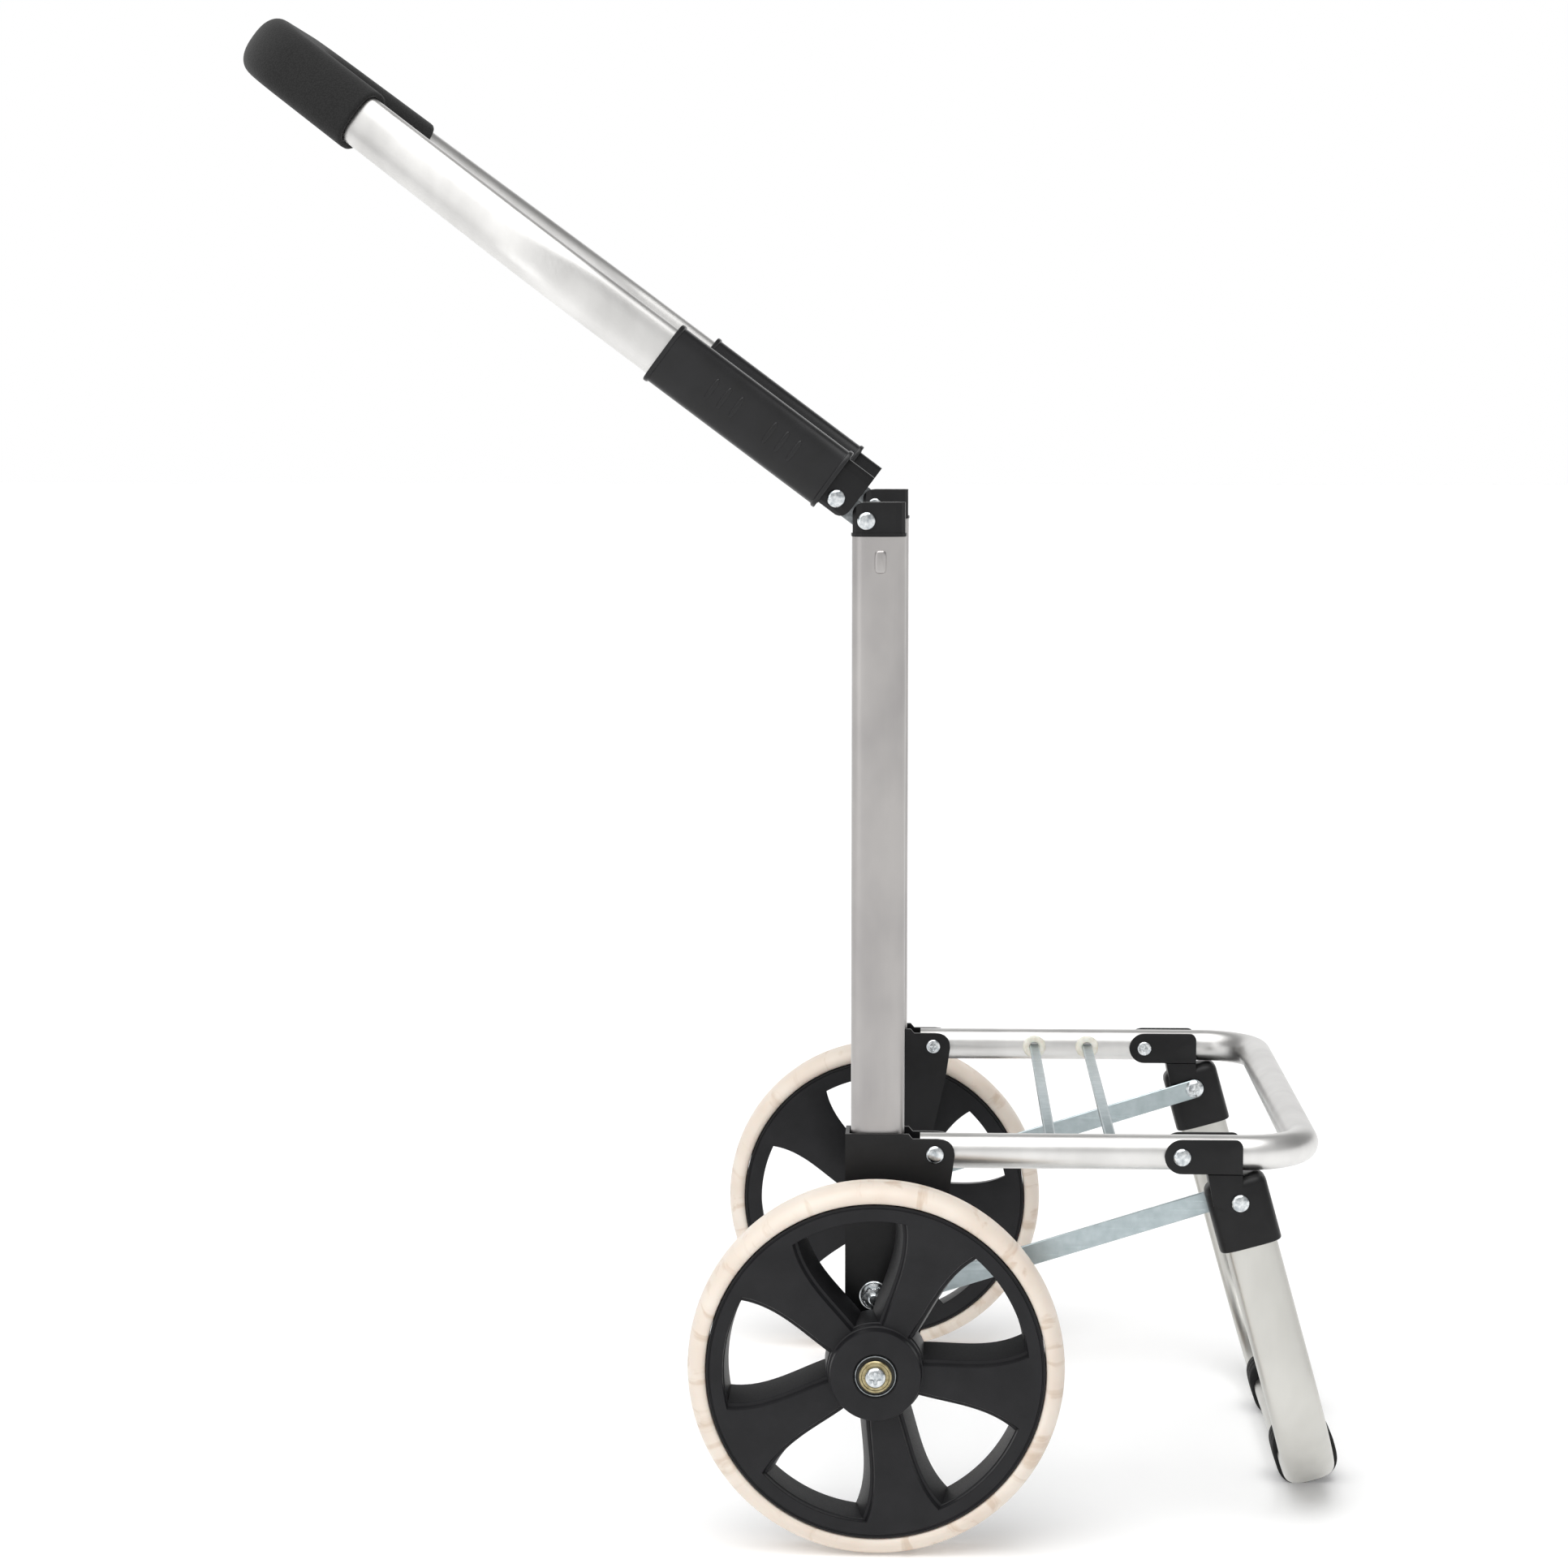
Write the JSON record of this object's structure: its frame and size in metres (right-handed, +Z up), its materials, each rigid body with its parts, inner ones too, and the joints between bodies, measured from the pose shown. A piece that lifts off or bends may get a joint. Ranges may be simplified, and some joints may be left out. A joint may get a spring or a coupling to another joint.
{
  "type": "hand truck",
  "caption": "Folding two-wheeled hand truck with a fold-up rail platform on a propping leg and a bow handle with foam grip, folded back on double hinges.",
  "frame": {"origin": "centre of the footprint of the bounding box, on the ground", "axes": "+X forward, the side the platform unfolds to; +Y to the left across the wheels; +Z up"},
  "size_m": [0.6184, 0.4854, 0.8233],
  "materials": {
    "mast_aluminium": "satin clear-anodised drawn tube",
    "cap_nylon": "black injection-moulded nylon",
    "black_powder_coat": "black powder-coated folded steel sheet",
    "zinc_hardware": "bright zinc-plated steel",
    "zinc_axle": "zinc-plated turned bar",
    "yellow_zinc": "yellow-passivated zinc-plated steel",
    "tyre_rubber": "cream marbled moulded rubber",
    "rim_plastic": "black moulded polypropylene",
    "link_steel": "grey zinc-plated stamped steel",
    "handle_aluminium": "satin clear-anodised bent tube",
    "grip_foam": "matte black closed-cell foam rubber",
    "sleeve_nylon": "black injection-moulded nylon, fine grained",
    "rail_aluminium": "satin clear-anodised round tube",
    "bar_zinc": "zinc-plated flat bar",
    "white_nylon": "natural white nylon",
    "leg_aluminium": "satin clear-anodised bent tube",
    "bracket_nylon": "black glass-filled moulded nylon",
    "foot_rubber": "black moulded rubber"
  },
  "bodies": {
    "frame": {"mast_tube_left": "mast_aluminium", "mast_tube_right": "mast_aluminium", "mast_fork_left": "cap_nylon", "mast_fork_right": "cap_nylon", "frame_bracket_left": "black_powder_coat", "frame_bracket_right": "black_powder_coat", "bracket_bolt_left": "zinc_hardware", "bracket_bolt_right": "zinc_hardware", "platform_rivet_left": "zinc_hardware", "platform_rivet_right": "zinc_hardware", "mast_hinge_rivet_left": "zinc_hardware", "mast_hinge_rivet_right": "zinc_hardware", "strut_stud_left": "zinc_hardware", "strut_stud_right": "zinc_hardware", "axle": "zinc_axle", "axle_spacer_left": "cap_nylon", "axle_spacer_right": "cap_nylon", "hub_washer_left": "yellow_zinc", "hub_washer_right": "yellow_zinc", "hub_screw_left": "zinc_hardware", "hub_screw_right": "zinc_hardware"},
    "wheel_left": {"tyre_left": "tyre_rubber", "rim_left": "rim_plastic", "bearing_outer_left": "zinc_axle", "bearing_inner_left": "zinc_axle"},
    "wheel_right": {"tyre_right": "tyre_rubber", "rim_right": "rim_plastic", "bearing_outer_right": "zinc_axle", "bearing_inner_right": "zinc_axle"},
    "links": {"fold_link_left": "link_steel", "fold_link_right": "link_steel"},
    "handle": {"handle_bow": "handle_aluminium", "foam_grip": "grip_foam", "handle_fork_left": "cap_nylon", "handle_fork_right": "cap_nylon", "handle_hinge_rivet_left": "zinc_hardware", "handle_hinge_rivet_right": "zinc_hardware"},
    "sleeve_left": {"lock_sleeve_left": "sleeve_nylon"},
    "sleeve_right": {"lock_sleeve_right": "sleeve_nylon"},
    "platform": {"platform_rail": "rail_aluminium", "cross_bar_rear": "bar_zinc", "cross_bar_front": "bar_zinc", "grommet_rear_left": "white_nylon", "grommet_rear_right": "white_nylon", "grommet_front_left": "white_nylon", "grommet_front_right": "white_nylon", "leg_rivet_left": "zinc_hardware", "leg_rivet_right": "zinc_hardware"},
    "leg": {"leg_bow": "leg_aluminium", "leg_bracket_left": "bracket_nylon", "leg_bracket_right": "bracket_nylon", "rubber_foot_left": "foot_rubber", "rubber_foot_right": "foot_rubber", "leg_socket_rivet_left": "zinc_hardware", "leg_socket_rivet_right": "zinc_hardware"},
    "struts": {"strut_left": "bar_zinc", "strut_right": "bar_zinc", "strut_screw_left": "zinc_hardware", "strut_screw_right": "zinc_hardware"}
  },
  "joints": [
    {"name": "wheel_left_spin", "type": "hinge", "parent": "frame", "child": "wheel_left", "pos_m": [0.04945, 0.216, 0.1], "axis": [0, 1, 0], "continuous": true},
    {"name": "wheel_right_spin", "type": "hinge", "parent": "frame", "child": "wheel_right", "pos_m": [0.04945, -0.216, 0.1], "axis": [0, 1, 0], "continuous": true},
    {"name": "link_fold", "type": "hinge", "parent": "frame", "child": "links", "pos_m": [0.04285, 0, 0.5465], "axis": [0, -1, 0], "range_deg": [-53.2, 36.8]},
    {"name": "handle_fold", "type": "hinge", "parent": "links", "child": "handle", "pos_m": [0.02683, 0, 0.55848], "axis": [0, -1, 0], "range_deg": [0, 89]},
    {"name": "sleeve_left_slide", "type": "slide", "parent": "handle", "child": "sleeve_left", "axis": [-0.8007, 0, 0.599], "range_m": [0, 0.05]},
    {"name": "sleeve_right_slide", "type": "slide", "parent": "handle", "child": "sleeve_right", "axis": [-0.8007, 0, 0.599], "range_m": [0, 0.05]},
    {"name": "platform_fold", "type": "hinge", "parent": "frame", "child": "platform", "pos_m": [0.08045, 0, 0.2071], "axis": [0, -1, 0], "range_deg": [0, 84]},
    {"name": "leg_fold", "type": "hinge", "parent": "platform", "child": "leg", "pos_m": [0.21285, 0, 0.2066], "axis": [0, -1, 0], "range_deg": [-98.7, 0]},
    {"name": "strut_fold", "type": "hinge", "parent": "frame", "child": "struts", "pos_m": [0.06145, 0, 0.124], "axis": [0, -1, 0], "range_deg": [0, 55.1]}
  ],
  "couplings": [
    {"joint": "leg_fold", "follows": "platform_fold", "ratio": -1.1738},
    {"joint": "strut_fold", "follows": "platform_fold", "ratio": 0.65502}
  ]
}
